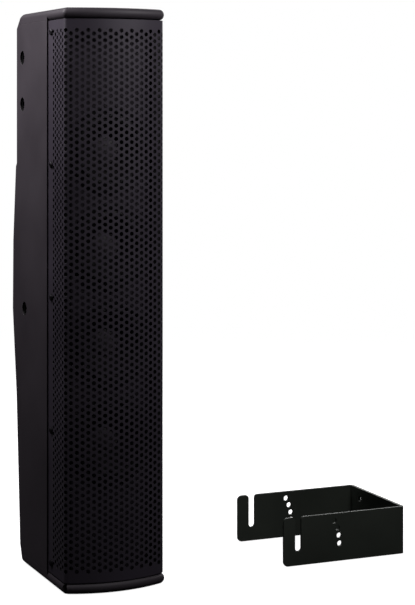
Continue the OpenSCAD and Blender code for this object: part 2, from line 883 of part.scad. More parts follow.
// Screws of the transformer's strap and of the filter board
module inner_screws() {
    color(zinc) {
        strap_screw_places() translate([0, 0, cap_t + strap_t])
            pan_screw(2.8, 2, inner_screw_r, inner_screw_l + strap_t);
        for (p = PCB_POSTS) translate([p[0], p[1], cap_t + pcb_lift + pcb_t])
            pan_screw(2.8, 2, inner_screw_r, inner_screw_l + pcb_lift + pcb_t);
    }
}

// Board on four spacers
module filter_board() {
    color([0.16, 0.30, 0.18]) difference() {
        union() {
            translate([-pcb_w / 2, pcb_y, cap_t + pcb_lift]) cube([pcb_w, pcb_l, pcb_t]);
            for (p = PCB_POSTS) translate([p[0], p[1], cap_t]) cylinder(h = pcb_lift + eps, r = 3);
        }
        for (p = PCB_POSTS) translate([p[0], p[1], cap_t - 1])
            cylinder(h = pcb_lift + pcb_t + 2, r = inner_screw_r);
    }
}

// Choke, two capacitors and two resistors
module filter_parts() {
    z0 = cap_t + pcb_lift + pcb_t;
    mid_y = pcb_y + pcb_l / 2;
    color(copper) translate([choke_x, mid_y, z0]) ring(choke[0], choke[1], choke[2]);
    color([0.15, 0.18, 0.30]) for (y = [-9, 9])
        translate([4, mid_y + y, z0]) cylinder(h = capacitor[1], r = capacitor[0]);
    color([0.85, 0.84, 0.80]) for (y = [-14, 6]) translate([14, mid_y + y, z0]) cube(resistor);
}

// Loom: a trunk up the right side with a branch to each driver, and the feed from a socket
module wiring() {
    top_z = driver_z(driver_count);
    pcb_top = cap_t + pcb_lift + pcb_t;
    feed_z = plate_z + socket_z;
    feed_y = 150;
    lead_y = core_y + core_stack + coil_over / 2;
    color([0.06, 0.06, 0.06]) {
        cable([
            [30, trunk[1], pcb_top], [30, trunk[1], pcb_top + 16],
            [trunk[0], trunk[1], pcb_top + 16], [trunk[0], trunk[1], top_z],
            [trunk[0], tab_y, top_z], [tab_end, tab_y, top_z]
        ], trunk_r);
        for (i = [1:driver_count - 1]) cable([
            [trunk[0], trunk[1], driver_z(i)], [trunk[0], tab_y, driver_z(i)],
            [tab_end, tab_y, driver_z(i)]
        ], branch_r);
        cable([
            [-socket_x, 172, feed_z], [-socket_x, feed_y, feed_z], [-socket_x, feed_y, 90],
            [-socket_x, lead_y, 90], [-socket_x, lead_y, cap_t + core_h - leg]
        ], branch_r);
    }
}

// Polyester wadding: two pads on the left wall and one under the top
module wadding() {
    color([0.90, 0.90, 0.88]) {
        for (z = pad_zs)
            translate([-inner_w, pad_y, z[0]]) cube([pad_t, pad_w, z[1] - z[0]]);
        translate([-inner_w + batten, lid_pad_y, inner_top - pad_t])
            cube([2 * (inner_w - batten), lid_pad_w, pad_t]);
    }
}

// Bracket ------------------------------------------------------------------------------------

// U shape seen from above, with round outer corners at the plate and square free ends
module u_plan(inset, r) {
    x1 = arm_l - inset;
    translate([0, inset]) square([x1 - r, bracket_w - 2 * inset]);
    translate([0, inset + r]) square([x1, bracket_w - 2 * inset - 2 * r]);
    for (y = [inset + r, bracket_w - inset - r]) translate([x1 - r, y]) circle(r);
}

// Side view of an arm, with round corners at the free end, as [x, z]
module arm_view() {
    translate([end_r, 0]) square([arm_l - end_r, arm_h]);
    translate([0, end_r]) square([arm_l, arm_h - 2 * end_r]);
    for (z = [end_r, arm_h - end_r]) translate([end_r, z]) circle(end_r);
}

// Slot open upwards, with rounded lips at its mouth, as [x, z]
module slot_view() {
    translate([slot_x, slot_z]) circle(slot_w / 2);
    translate([slot_x - slot_w / 2, slot_z]) square([slot_w, arm_h]);
    difference() {
        translate([slot_x - slot_w / 2 - slot_mouth_r, arm_h - slot_mouth_r])
            square([slot_w + 2 * slot_mouth_r, slot_mouth_r + 1]);
        for (s = [-1, 1])
            translate([slot_x + s * (slot_w / 2 + slot_mouth_r), arm_h - slot_mouth_r])
                circle(slot_mouth_r);
    }
}

// Everything that is cut through both arms, as [x, z]
module arm_cuts() {
    slot_view();
    for (a = [0:index_step:3 * index_step])
        translate([slot_x + tilt_r * cos(a), slot_z + tilt_r * sin(a)]) circle(index_r);
}

// Holes in the back plate, along X
module plate_holes() {
    places = concat(
        [for (s = [-1, 1]) [bracket_w / 2 + s * upper_pair / 2, upper_z]],
        [for (k = [-1:1]) [bracket_w / 2 + k * row_step, row_z]]
    );
    for (p = places) translate([arm_l - steel_t - 1, p[0], p[1]])
        rotate([0, 90, 0]) cylinder(h = steel_t + 2, r = plate_hole_r);
}

// Stands on its lower edges beside the cabinet, with the arms pointing to the left
module bracket() {
    color([0.12, 0.13, 0.12]) translate([bracket_x, bracket_y, 0]) difference() {
        intersection() {
            linear_extrude(arm_h) difference() {
                u_plan(0, bend_r);
                translate([-1, 0]) u_plan(steel_t, bend_r - steel_t);
            }
            translate([0, bracket_w, 0]) rotate([90, 0, 0]) linear_extrude(bracket_w) arm_view();
        }
        translate([0, bracket_w + 1, 0]) rotate([90, 0, 0]) linear_extrude(bracket_w + 2) arm_cuts();
        plate_holes();
    }
}

// Nodes --------------------------------------------------------------------------------------

top_panel();
bottom_panel();
side_panel(-1);  // side_left
side_panel(1);  // side_right
baffle();
rear_upper();
rear_step();
rear_mid();
rear_taper();
rear_low();
battens();
brace();
grille();
grille_screws();
inserts_m8();
inserts_m6();
basket(1);  // basket_1
basket(2);  // basket_2
basket(3);  // basket_3
basket(4);  // basket_4
cone(1);  // cone_1
cone(2);  // cone_2
cone(3);  // cone_3
cone(4);  // cone_4
dust_cap(1);  // dust_cap_1
dust_cap(2);  // dust_cap_2
dust_cap(3);  // dust_cap_3
dust_cap(4);  // dust_cap_4
voice_coil(1);  // voice_coil_1
voice_coil(2);  // voice_coil_2
voice_coil(3);  // voice_coil_3
voice_coil(4);  // voice_coil_4
surrounds();
spiders();
gaskets();
top_plates();
magnets();
yokes();
terminals();
driver_screws();
connector_plate();
socket(-1);  // socket_in
socket(1);  // socket_out
socket_contacts();
plate_screws();
tap_switch();
tap_spindle();
tap_knob();
transformer_core();
transformer_bobbin();
transformer_winding();
transformer_strap();
filter_board();
filter_parts();
inner_screws();
wiring();
wadding();
bracket();
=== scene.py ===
"""A column loudspeaker beside its loose U bracket, in the looks of satin black paint and powder coat.

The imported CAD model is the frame. The nodes whose looks need more than their CAD solids are replaced here:
the perforated grille, the rubber surrounds, the cloth spiders and the wadding. The tap selector's markings
are added. Everything else keeps its CAD mesh.
"""

import math

import bmesh
import bpy
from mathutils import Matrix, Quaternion, Vector, noise


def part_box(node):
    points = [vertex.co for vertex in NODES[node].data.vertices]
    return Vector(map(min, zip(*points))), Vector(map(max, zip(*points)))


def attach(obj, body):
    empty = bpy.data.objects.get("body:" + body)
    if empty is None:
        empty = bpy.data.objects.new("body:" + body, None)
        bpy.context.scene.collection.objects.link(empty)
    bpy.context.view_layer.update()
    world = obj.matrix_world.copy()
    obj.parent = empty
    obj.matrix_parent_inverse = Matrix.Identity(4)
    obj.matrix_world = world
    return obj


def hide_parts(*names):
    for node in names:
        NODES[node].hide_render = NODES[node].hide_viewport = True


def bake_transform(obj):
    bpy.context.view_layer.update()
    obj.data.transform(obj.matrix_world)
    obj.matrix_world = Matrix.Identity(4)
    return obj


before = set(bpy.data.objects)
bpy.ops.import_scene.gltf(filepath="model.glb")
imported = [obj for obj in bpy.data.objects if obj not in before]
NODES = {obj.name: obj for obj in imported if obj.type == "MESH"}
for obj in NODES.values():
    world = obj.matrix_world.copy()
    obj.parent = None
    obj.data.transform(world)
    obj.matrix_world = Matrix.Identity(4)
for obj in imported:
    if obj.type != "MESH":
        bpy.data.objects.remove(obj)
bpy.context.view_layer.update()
MM = 0.001


# Node helpers ---------------------------------------------------------------------------------


class Tree:
    """A material being built: add() makes a node, link() joins sockets."""

    def __init__(self, name):
        self.material = bpy.data.materials.new(name)
        self.material.use_nodes = True
        self.nodes = self.material.node_tree.nodes
        self.links = self.material.node_tree.links
        self.shader = self.nodes["Principled BSDF"]

    def add(self, kind, **values):
        node = self.nodes.new(kind)
        for key, value in values.items():
            if key in node.inputs:
                node.inputs[key].default_value = value
            else:
                setattr(node, key, value)
        return node

    def link(self, source, target):
        self.links.new(source, target)

    def place(self, scale=1.0, stretch=(1, 1, 1)):
        """Object coordinates, scaled by scale and stretched along each axis."""
        coords = self.add("ShaderNodeTexCoord")
        mapping = self.add("ShaderNodeMapping")
        mapping.inputs["Scale"].default_value = [scale * s for s in stretch]
        self.link(coords.outputs["Object"], mapping.inputs["Vector"])
        return mapping.outputs["Vector"]

    def noise(self, scale, detail=4.0, rough=0.5, stretch=(1, 1, 1)):
        """A noise field with features about 1/scale metres across."""
        node = self.add("ShaderNodeTexNoise", Scale=scale, Detail=detail, Roughness=rough)
        self.link(self.place(1.0, stretch), node.inputs["Vector"])
        return node.outputs["Fac"]

    def ramp(self, fac, low, high, start=0.3, end=0.7):
        """Maps fac between start and end to values or colours between low and high."""
        node = self.add("ShaderNodeValToRGB")
        first, last = node.color_ramp.elements
        first.position, last.position = start, end
        first.color, last.color = colour(low), colour(high)
        self.link(fac, node.inputs["Fac"])
        return node.outputs["Color"]

    def bump(self, height, strength, distance, under=None):
        node = self.add("ShaderNodeBump", Strength=strength, Distance=distance)
        self.link(height, node.inputs["Height"])
        if under is not None:
            self.link(under, node.inputs["Normal"])
        return node.outputs["Normal"]

    def rounded(self, radius):
        """A normal that reads sharp edges as slightly rounded ones."""
        node = self.add("ShaderNodeBevel", Radius=radius)
        node.samples = 4
        return node.outputs["Normal"]


def colour(value):
    """RGBA from a grey level or an RGB triple."""
    if isinstance(value, (int, float)):
        return (value, value, value, 1.0)
    return (*value, 1.0)


def painted(name, base, rough, grain, grain_depth, edge=0.0006, patch=0.25, metallic=0.0, specular=0.5):
    """Satin paint or powder coat: fine orange peel, soft patches of roughness and rounded edges."""
    t = Tree(name)
    peel = t.noise(1.0 / grain, detail=3.0)
    patches = t.noise(9.0, detail=3.0)
    dark = [c * (1 - patch) for c in base]
    t.link(t.ramp(patches, dark, base), t.shader.inputs["Base Color"])
    t.link(t.ramp(patches, rough * 0.88, rough * 1.1), t.shader.inputs["Roughness"])
    t.link(t.bump(peel, 0.6, grain_depth, t.rounded(edge)), t.shader.inputs["Normal"])
    t.shader.inputs["Metallic"].default_value = metallic
    t.shader.inputs["Specular IOR Level"].default_value = specular
    return t.material


def metal(name, base, rough, brush=(1, 1, 1), edge=0.0003):
    """Plated or brushed metal: streaked roughness, faint stains and rounded edges."""
    t = Tree(name)
    streaks = t.noise(900.0, detail=2.0, stretch=brush)
    stains = t.noise(60.0, detail=4.0)
    t.link(t.ramp(stains, [c * 0.8 for c in base], base), t.shader.inputs["Base Color"])
    t.link(t.ramp(streaks, rough * 0.75, rough * 1.25), t.shader.inputs["Roughness"])
    t.link(t.bump(streaks, 0.3, 0.00002, t.rounded(edge)), t.shader.inputs["Normal"])
    t.shader.inputs["Metallic"].default_value = 1.0
    return t.material


def moulded(name, base, rough, grain=0.0004, depth=0.00003, edge=0.0003, sheen=0.0):
    """Moulded plastic, rubber or lacquer: a faint grain, patches of shine and rounded edges."""
    t = Tree(name)
    grain_field = t.noise(1.0 / grain, detail=2.0)
    patches = t.noise(40.0, detail=3.0)
    t.link(t.ramp(patches, [c * 0.85 for c in base], base), t.shader.inputs["Base Color"])
    t.link(t.ramp(patches, rough * 0.9, min(1.0, rough * 1.1)), t.shader.inputs["Roughness"])
    t.link(t.bump(grain_field, 0.5, depth, t.rounded(edge)), t.shader.inputs["Normal"])
    t.shader.inputs["Sheen Weight"].default_value = sheen
    return t.material


def woven(name, base, pitch, rough=0.85, depth=0.0001):
    """Cloth: two crossed sets of threads of the given pitch, in the plane the cloth faces."""
    t = Tree(name)
    place = t.place(1.0)
    waves = []
    for direction in ("X", "Z"):
        wave = t.add("ShaderNodeTexWave", Scale=0.16 / pitch, Distortion=0.4)
        wave.bands_direction = direction
        t.link(place, wave.inputs["Vector"])
        waves.append(wave.outputs["Fac"])
    weave = t.add("ShaderNodeMath", operation="MULTIPLY")
    t.link(waves[0], weave.inputs[0])
    t.link(waves[1], weave.inputs[1])
    height = weave.outputs["Value"]
    t.link(t.ramp(height, [c * 0.6 for c in base], base, 0.1, 0.8), t.shader.inputs["Base Color"])
    t.link(t.bump(height, 0.6, depth), t.shader.inputs["Normal"])
    t.shader.inputs["Roughness"].default_value = rough
    t.shader.inputs["Sheen Weight"].default_value = 0.2
    return t.material


def fibrous(name, base, rough, scale, depth, stretch=(1, 1, 1)):
    """Paper, ply or wadding: stretched fibres in colour and height."""
    t = Tree(name)
    fibres = t.noise(scale, detail=6.0, rough=0.65, stretch=stretch)
    t.link(t.ramp(fibres, [c * 0.7 for c in base], base), t.shader.inputs["Base Color"])
    t.link(t.ramp(fibres, rough, min(1.0, rough * 1.15)), t.shader.inputs["Roughness"])
    t.link(t.bump(fibres, 0.5, depth), t.shader.inputs["Normal"])
    return t.material


def dimmed(material, share, dark):
    """Mixes the paint's colour towards dark by a share between 0 and 1."""
    nodes, links = material.node_tree.nodes, material.node_tree.links
    paint = nodes["Principled BSDF"].inputs["Base Color"]
    mix = nodes.new("ShaderNodeMixRGB")
    mix.inputs["Color2"].default_value = colour(dark)
    links.new(share, mix.inputs["Fac"])
    links.new(paint.links[0].from_socket, mix.inputs["Color1"])
    links.new(mix.outputs["Color"], paint)
    return material


def dimmed_inside(material, half_width, back_y, dark):
    """Dims the paint within half_width of the mid plane and in front of back_y: painted shade in the
    recesses and behind the grille sheet.
    """
    nodes, links = material.node_tree.nodes, material.node_tree.links
    axes = nodes.new("ShaderNodeSeparateXYZ")
    links.new(nodes.new("ShaderNodeTexCoord").outputs["Object"], axes.inputs[0])
    across = nodes.new("ShaderNodeMath")
    across.operation = "ABSOLUTE"
    links.new(axes.outputs["X"], across.inputs[0])
    both = nodes.new("ShaderNodeMath")
    both.operation = "MULTIPLY"
    for k, (source, limit) in enumerate(((across.outputs[0], half_width), (axes.outputs["Y"], back_y))):
        test = nodes.new("ShaderNodeMath")
        test.operation = "LESS_THAN"
        links.new(source, test.inputs[0])
        test.inputs[1].default_value = limit
        links.new(test.outputs[0], both.inputs[k])
    return dimmed(material, both.outputs[0], dark)


def dimmed_walls(material, dark):
    """Dims the paint on the faces marked as the walls of holes: painted shade inside the holes."""
    mark = material.node_tree.nodes.new("ShaderNodeAttribute")
    mark.attribute_name = WALL
    return dimmed(material, mark.outputs["Fac"], dark)


# Materials ------------------------------------------------------------------------------------

WALL = "hole_wall"                        # marks the faces inside the grille's holes, which carry painted shade
SHADOW = 0.006                            # painted shade in the recesses and behind the sheet
# painted shade on the walls of the grille's holes
HOLE_SHADOW = 0.004
SATIN = ((0.060, 0.051, 0.061), 0.60, 0.0009, 0.00005, 0.0010)
side_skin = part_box("side_right")[1].x - 0.4 * MM
recess_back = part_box("inserts_m8")[1].y + 1 * MM
cabinet_paint = painted("cabinet_paint", *SATIN)
# The side panels carry painted shade inside the insert recesses and on the rebate behind the grille sheet
side_paint = dimmed_inside(painted("side_paint", *SATIN), side_skin, recess_back, SHADOW)
baffle_paint = painted("baffle_paint", (0.070, 0.061, 0.075), 0.6, 0.0008, 0.00005)
grille_powder = painted("grille_powder", (0.060, 0.051, 0.069), 0.5, 0.0005, 0.00002, edge=0.0003)
# Painted shade: the walls of the grille's holes are darkened so that the perforated zone reads darker
grille_paint = dimmed_walls(grille_powder, HOLE_SHADOW)
bracket_paint = painted("bracket_paint", (0.064, 0.076, 0.062), 0.45, 0.0004, 0.00003, edge=0.0006)
plate_paint = painted("plate_paint", (0.020, 0.020, 0.022), 0.45, 0.0004, 0.00002, edge=0.0004)
enamel = painted("enamel", (0.025, 0.025, 0.026), 0.35, 0.0010, 0.00002)
black_screw = metal("black_screw", (0.045, 0.043, 0.048), 0.55)
zinc = metal("zinc", (0.62, 0.62, 0.60), 0.32)
insert_steel = metal("insert_steel", (0.012, 0.012, 0.013), 0.6)
brass = metal("brass", (0.80, 0.58, 0.26), 0.28)
lamination = metal("lamination", (0.20, 0.20, 0.22), 0.45, brush=(1, 12, 1))
copper_wire = metal("copper_wire", (0.70, 0.32, 0.16), 0.35, brush=(1, 1, 6))
ferrite = moulded("ferrite", (0.050, 0.050, 0.054), 0.55, grain=0.0006, depth=0.00008)
rubber = moulded("rubber", (0.016, 0.016, 0.017), 0.55, sheen=0.1)
gasket_foam = moulded("gasket_foam", (0.018, 0.018, 0.019), 0.95, grain=0.0008, depth=0.0002)
socket_plastic = moulded("socket_plastic", (0.016, 0.016, 0.017), 0.42)
phenolic = moulded("phenolic", (0.14, 0.065, 0.03), 0.4)
knob_plastic = moulded("knob_plastic", (0.014, 0.014, 0.015), 0.22)
nylon = moulded("nylon", (0.70, 0.66, 0.56), 0.5)
sheath = moulded("sheath", (0.014, 0.014, 0.014), 0.5)
laminate = moulded("laminate", (0.025, 0.12, 0.045), 0.25)
cement = moulded("cement", (0.55, 0.53, 0.48), 0.8, grain=0.0005, depth=0.0001)
white_ink = moulded("white_ink", (0.75, 0.75, 0.73), 0.5)
cone_paper = fibrous("cone_paper", (0.012, 0.011, 0.012), 0.7, 700.0, 0.00008)
cap_cloth = woven("cap_cloth", (0.16, 0.15, 0.165), 0.0007, rough=0.5)
spider_cloth = woven("spider_cloth", (0.55, 0.38, 0.15), 0.0009)
plywood = fibrous("plywood", (0.55, 0.40, 0.24), 0.7, 60.0, 0.0001, stretch=(1, 1, 14))
wadding_fibre = fibrous("wadding_fibre", (0.84, 0.84, 0.82), 0.95, 220.0, 0.0008)

FINISH = {
    cabinet_paint: ["top_panel", "bottom_panel", "rear_upper", "rear_step", "rear_mid", "rear_taper",
                    "rear_low"],
    side_paint: ["side_left", "side_right"],
    baffle_paint: ["baffle"],
    plywood: ["battens", "brace"],
    black_screw: ["grille_screws", "driver_screws", "plate_screws"],
    insert_steel: ["inserts_m8", "inserts_m6"],
    enamel: ["basket_1", "basket_2", "basket_3", "basket_4"],
    cone_paper: ["cone_1", "cone_2", "cone_3", "cone_4"],
    cap_cloth: ["dust_cap_1", "dust_cap_2", "dust_cap_3", "dust_cap_4"],
    copper_wire: ["voice_coil_1", "voice_coil_2", "voice_coil_3", "voice_coil_4", "transformer_winding"],
    gasket_foam: ["gaskets"],
    zinc: ["top_plates", "yokes", "tap_spindle", "transformer_strap", "inner_screws"],
    ferrite: ["magnets"],
    brass: ["terminals", "socket_contacts"],
    plate_paint: ["connector_plate"],
    socket_plastic: ["socket_in", "socket_out"],
    phenolic: ["tap_switch"],
    knob_plastic: ["tap_knob"],
    lamination: ["transformer_core"],
    nylon: ["transformer_bobbin"],
    laminate: ["filter_board"],
    cement: ["filter_parts"],
    sheath: ["wiring"],
    bracket_paint: ["bracket"],
}


def dress_nodes():
    """Gives every CAD node that stays its material."""
    for material, names in FINISH.items():
        for name in names:
            for slot in NODES[name].material_slots:
                slot.material = material


# Mesh helpers ---------------------------------------------------------------------------------


def new_piece(name, verts, faces, material, sharp=35.0):
    """A mesh object whose faces shade smooth except across edges sharper than sharp degrees."""
    mesh = bpy.data.meshes.new(name)
    mesh.from_pydata(verts, [], faces)
    mesh.validate()
    mesh.shade_smooth()
    mesh.set_sharp_from_angle(angle=math.radians(sharp))
    mesh.materials.append(material)
    piece = bpy.data.objects.new(name, mesh)
    bpy.context.scene.collection.objects.link(piece)
    return piece


def lathe(name, profile, centre, material, steps=96):
    """Turns a closed profile of (radius, y) points about the Y axis through centre."""
    verts, faces = [], []
    count = len(profile)
    for k in range(steps):
        angle = 2 * math.pi * k / steps
        for radius, y in profile:
            verts.append((centre.x + radius * math.cos(angle), y, centre.z + radius * math.sin(angle)))
    for k in range(steps):
        here, there = k * count, (k + 1) % steps * count
        for i in range(count):
            j = (i + 1) % count
            faces.append((here + i, here + j, there + j, there + i))
    return new_piece(name, verts, faces, material)


def centre_of(node):
    low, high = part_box(node)
    return (low + high) / 2


# Grille ---------------------------------------------------------------------------------------

SHEET = 1.2 * MM
BOW_R = 139.2 * MM
CORNER_R = 4.7 * MM
PITCH = 7.7 * MM
HOLE_R = 2.5 * MM
HOLE_SIDES = 12
ROWS = 83
COLUMNS = 32
QUARTER = PITCH * math.sqrt(3) / 8       # a quarter of the distance between columns of holes
FLANGE_STRIPS = 3


class BentSheet:
    """The grille's outline seen from above, measured along the sheet from the middle of the front."""

    def __init__(self, node):
        self.low, self.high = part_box(node)
        self.corner_x = self.high.x - CORNER_R
        self.bow_cy = self.low.y + BOW_R
        self.corner_y = self.bow_cy - math.sqrt((BOW_R - CORNER_R) ** 2 - self.corner_x ** 2)
        self.half = math.asin(self.corner_x / (BOW_R - CORNER_R))
        self.bow_end = BOW_R * self.half
        self.turn_end = self.bow_end + CORNER_R * (math.pi / 2 - self.half)
        self.end = self.turn_end + self.high.y - self.corner_y

    def point(self, s, z, inset):
        """The place at length s along the sheet, inset from its outer face."""
        run, side = abs(s), math.copysign(1, s)
        if run <= self.bow_end:
            angle = run / BOW_R
            x = (BOW_R - inset) * math.sin(angle)
            y = self.bow_cy - (BOW_R - inset) * math.cos(angle)
        elif run <= self.turn_end:
            angle = self.half + (run - self.bow_end) / CORNER_R
            x = self.corner_x + (CORNER_R - inset) * math.sin(angle)
            y = self.corner_y - (CORNER_R - inset) * math.cos(angle)
        else:
            x = self.high.x - inset
            y = self.corner_y + run - self.turn_end
        return (side * x, y, z)


def perforated_grille():
    """One bent sheet with staggered round holes, solid margins and solid side flanges."""
    sheet = BentSheet("grille")
    verts, faces, walls, known = [], [], [], {}
    half_columns = COLUMNS // 2
    edge = 4 * half_columns
    low_z = (sheet.low.z + sheet.high.z - ROWS * PITCH) / 2

    def along(i):
        if abs(i) <= edge:
            return i * QUARTER
        strip = (sheet.end - edge * QUARTER) / FLANGE_STRIPS
        return math.copysign(edge * QUARTER + (abs(i) - edge) * strip, i)

    def up(j):
        return {-1: sheet.low.z, 2 * ROWS + 1: sheet.high.z}.get(j, low_z + j * PITCH / 2)

    def vert(i, j, face):
        """The grid vertex on the outer (0) or inner (1) face."""
        key = (i, j, face)
        if key not in known:
            known[key] = len(verts)
            verts.append(sheet.point(along(i), up(j), face * SHEET))
        return known[key]

    def both(ring, rim=None):
        """A polygon, or a band between two rings, on both faces of the sheet."""
        if rim is None:
            faces.append([vert(i, j, 0) for i, j in ring])
            faces.append([vert(i, j, 1) for i, j in reversed(ring)])
            return
        for face in (0, 1):
            outer = [vert(i, j, face) for i, j in ring]
            for k in range(HOLE_SIDES):
                n = (k + 1) % HOLE_SIDES
                quad = [outer[k], outer[n], rim[face][n], rim[face][k]]
                faces.append(quad if face == 0 else quad[::-1])

    def tile(i, j):
        """One hole centred on grid place (i, j), with the metal round it."""
        rim = ([], [])
        for face in (0, 1):
            for k in range(HOLE_SIDES):
                angle = 2 * math.pi * k / HOLE_SIDES
                rim[face].append(len(verts))
                verts.append(sheet.point(along(i) + HOLE_R * math.cos(angle),
                                         up(j) + HOLE_R * math.sin(angle), face * SHEET))
        ring = [(i + 2, j), (i + 2, j + 1), (i + 1, j + 1), (i, j + 1), (i - 1, j + 1), (i - 2, j + 1),
                (i - 2, j), (i - 2, j - 1), (i - 1, j - 1), (i, j - 1), (i + 1, j - 1), (i + 2, j - 1)]
        both(ring, rim)
        for k in range(HOLE_SIDES):
            n = (k + 1) % HOLE_SIDES
            walls.append(len(faces))
            faces.append([rim[0][k], rim[0][n], rim[1][n], rim[1][k]])

    def plain(i, j):
        """One solid quad of the grid."""
        both([(i, j), (i + 1, j), (i + 1, j + 1), (i, j + 1)])

    for column in range(COLUMNS):
        middle = 4 * (column - half_columns) + 2
        if column % 2 == 0:
            for row in range(ROWS):
                tile(middle, 2 * row + 1)
        else:
            for row in range(ROWS - 1):
                tile(middle, 2 * row + 2)
            for i in range(middle - 2, middle + 2):
                plain(i, 0)
                plain(i, 2 * ROWS - 1)
    last = edge + FLANGE_STRIPS
    for i in list(range(-last, -edge)) + list(range(edge, last)):
        for j in range(2 * ROWS):
            plain(i, j)
    for i in range(-last, last):
        for j in (-1, 2 * ROWS):
            plain(i, j)
            low = j < 0
            rim_j = j if low else j + 1
            rim_quad = [vert(i, rim_j, 0), vert(i, rim_j, 1), vert(i + 1, rim_j, 1), vert(i + 1, rim_j, 0)]
            faces.append(rim_quad if low else rim_quad[::-1])
    for i in (-last, last):
        for j in range(-1, 2 * ROWS + 1):
            end_quad = [vert(i, j, 0), vert(i, j + 1, 0), vert(i, j + 1, 1), vert(i, j, 1)]
            faces.append(end_quad if i < 0 else end_quad[::-1])
    piece = new_piece("perforated_grille", verts, faces, grille_paint, sharp=25.0)
    # marks the hole walls for their painted shade
    marks = piece.data.attributes.new(WALL, "FLOAT", "FACE").data
    for index in walls:
        marks[index].value = 1.0
    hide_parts("grille")
    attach(piece, "cabinet")


# Soft parts of the drivers --------------------------------------------------------------------

DRIVERS = (1, 2, 3, 4)
RUBBER = 0.5 * MM
GLUE_LAP = 0.8 * MM                       # how far the rubber reaches in over the cone's rim
GLUE_EDGE = 0.4 * MM                      # flat between the glue and the roll
ROLL_GAP = 1.1 * MM                       # from the cone's rim to the roll
ROLL_R = 3.0 * MM
ROLL_POINTS = 14
ROLL_WIDE, ROLL_TALL = 0.96, 0.82         # the roll's shares of a true half circle
LAND_GAP = 0.3 * MM                       # from the roll to the land on the basket's rim
SPIDER_ROLLS = 5
SPIDER_STEPS = 12                         # points to each roll
SPIDER_RISE = 0.88 * MM
SPIDER_CLOTH = 0.45 * MM
SPIDER_IN_R = 13.05 * MM                  # just outside the voice coil's former
SPIDER_LAND = 2.8 * MM                    # flat rim glued to the basket


def blend_by_radius(piece):
    """Bakes the ring's placement into its mesh."""
    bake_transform(piece)


def both_sides(line, thickness):
    """A closed profile from a line of (radius, y) points and the same line set back."""
    return line + [(r, y + thickness) for r, y in reversed(line)]


def surround(i):
    """Half-roll rubber edge, glued to the cone's rim and held on the basket's rim."""
    cone_low, cone_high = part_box(f"cone_{i}")
    centre = centre_of(f"cone_{i}")
    low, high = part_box("surrounds")
    rim_r = (cone_high.x - cone_low.x) / 2
    land_y = high.y - RUBBER
    roll_in = rim_r + ROLL_GAP
    roll_mid = roll_in + ROLL_R
    land_end = (high.x - low.x) / 2
    line = [(rim_r - GLUE_LAP, land_y - RUBBER), (roll_in - GLUE_EDGE, land_y - RUBBER)]
    for k in range(ROLL_POINTS + 1):
        angle = math.pi * k / ROLL_POINTS
        across = ROLL_R * math.cos(angle) * ROLL_WIDE
        rise = ROLL_R * math.sin(angle) * ROLL_TALL
        line.append((roll_mid - across, land_y - rise))
    line += [(roll_mid + ROLL_R + LAND_GAP, land_y), (land_end, land_y)]
    piece = lathe(f"surround_{i}", both_sides(line, RUBBER), centre, rubber)
    blend_by_radius(piece)
    return piece


def spider(i):
    """Corrugated cloth ring between the voice coil's former and the basket's ledge."""
    centre = centre_of(f"voice_coil_{i}")
    low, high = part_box("spiders")
    outer_r = (high.x - low.x) / 2
    flat_r = outer_r - SPIDER_LAND
    mid_y = (low.y + high.y) / 2 - SPIDER_CLOTH / 2
    line = []
    steps = SPIDER_STEPS * SPIDER_ROLLS
    for k in range(steps + 1):
        share = k / steps
        fade = math.sin(math.pi * share) ** 0.3
        wave = math.sin(2 * math.pi * SPIDER_ROLLS * share) * SPIDER_RISE * fade
        line.append((SPIDER_IN_R + (flat_r - SPIDER_IN_R) * share, mid_y + wave))
    line.append((outer_r, mid_y))
    piece = lathe(f"spider_{i}", both_sides(line, SPIDER_CLOTH), centre, spider_cloth)
    blend_by_radius(piece)
    return piece


def soft_driver_parts():
    surrounds = [surround(i) for i in DRIVERS]
    spiders = [spider(i) for i in DRIVERS]
    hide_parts("surrounds")
    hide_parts("spiders")


# Wadding --------------------------------------------------------------------------------------


def islands(mesh):
    """The lowest and highest corners of each separate part of a mesh, in a fixed order."""
    spots = [tuple(round(c, 6) for c in vert.co) for vert in mesh.vertices]
    parent = {spot: spot for spot in spots}

    def root(spot):
        while parent[spot] != spot:
            spot = parent[spot]
        return spot

    for edge in mesh.edges:
        first, second = sorted(root(spots[i]) for i in edge.vertices)
        parent[second] = first
    parts = {}
    for spot in parent:
        parts.setdefault(root(spot), []).append(spot)
    boxes = [(Vector([min(axis) for axis in zip(*part)]), Vector([max(axis) for axis in zip(*part)]))
             for part in parts.values()]
    return sorted(boxes, key=lambda box: (box[0].z, box[0].x, box[0].y))


PAD_STEP = 4 * MM
PAD_MIN_CUTS = 8
PAD_FLUFF = 1.3 * MM
PAD_LUMPS = 90                            # lumps per metre
PAD_ROUND = 0.06                          # how far the corners pull in, as a share of the pad
PAD_FULL, PAD_DROOP = 0.86, 0.34          # thickness at the middle, and what the rim loses


def pad(name, low, high):
    """A felted polyester pad: soft edges, a crowned face and a lumpy surface, inside its box."""
    size, middle = high - low, (high + low) / 2
    thin = min(range(3), key=lambda k: size[k])
    box = bmesh.new()
    bmesh.ops.create_cube(box, size=2)
    cuts = max(PAD_MIN_CUTS, int(max(size) / PAD_STEP))
    bmesh.ops.subdivide_edges(box, edges=box.edges[:], cuts=cuts, use_grid_fill=True)
    for vert in box.verts:
        share = vert.co.copy()
        edge = max(abs(share[k]) for k in range(3) if k != thin)
        spot = Vector(share[k] * size[k] / 2 for k in range(3))
        for k in range(3):
            others = [abs(share[j]) for j in range(3) if j != k]
            spot[k] *= 1 - PAD_ROUND * max(others) ** 8
        spot[thin] *= PAD_FULL - PAD_DROOP * edge ** 10
        lumps = noise.fractal(spot * PAD_LUMPS, 0.7, 2.2, 4)
        spot += share.normalized() * PAD_FLUFF * (lumps - 1)
        vert.co = middle + spot
    mesh = bpy.data.meshes.new(name)
    box.to_mesh(mesh)
    box.free()
    mesh.shade_smooth()
    mesh.materials.append(wadding_fibre)
    piece = bpy.data.objects.new(name, mesh)
    bpy.context.scene.collection.objects.link(piece)
    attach(piece, "cabinet")
    return piece


